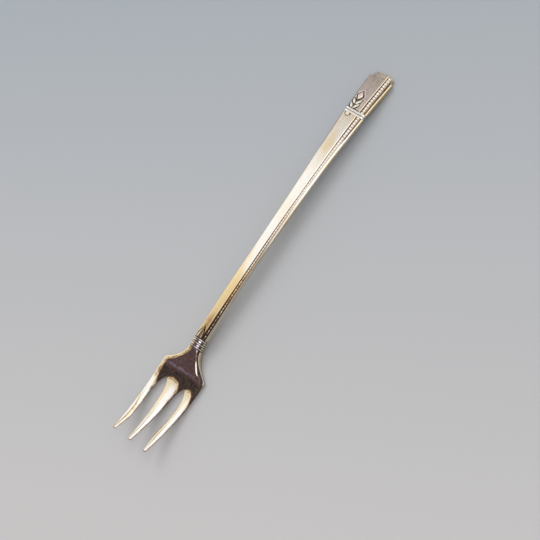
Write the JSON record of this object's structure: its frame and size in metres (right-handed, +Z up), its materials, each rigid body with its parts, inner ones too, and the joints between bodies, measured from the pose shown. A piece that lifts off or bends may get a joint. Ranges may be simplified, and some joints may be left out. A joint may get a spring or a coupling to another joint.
{
  "type": "cocktail fork",
  "caption": "Slender table fork with curled tines, a ringed neck and a flared handle with a bead line and a leaf sprig, for picking up seafood and small bites.",
  "frame": {"origin": "centre of the bounding box at table level, with the fork lying face up", "axes": "+Y from the tine tips to the end of the handle, +X across the fork towards the bead line, +Z up from the table"},
  "size_m": [0.0182, 0.1524, 0.007],
  "materials": {
    "silver": "polished",
    "toned_silver": "polished",
    "dark_silver": "polished"
  },
  "bodies": {
    "root": {"left_tine": "silver", "centre_tine": "silver", "right_tine": "silver", "palm": "dark_silver", "neck_collar": "dark_silver", "stem": "toned_silver", "cross_band": "silver", "handle_end": "silver", "stem_beads": "toned_silver", "end_beads": "silver", "neck_leaf": "toned_silver", "band_bud": "silver", "sprig_bud": "silver", "sprig_lower_left_leaf": "silver", "sprig_lower_right_leaf": "silver", "sprig_upper_left_leaf": "silver", "sprig_upper_right_leaf": "silver"}
  },
  "joints": []
}
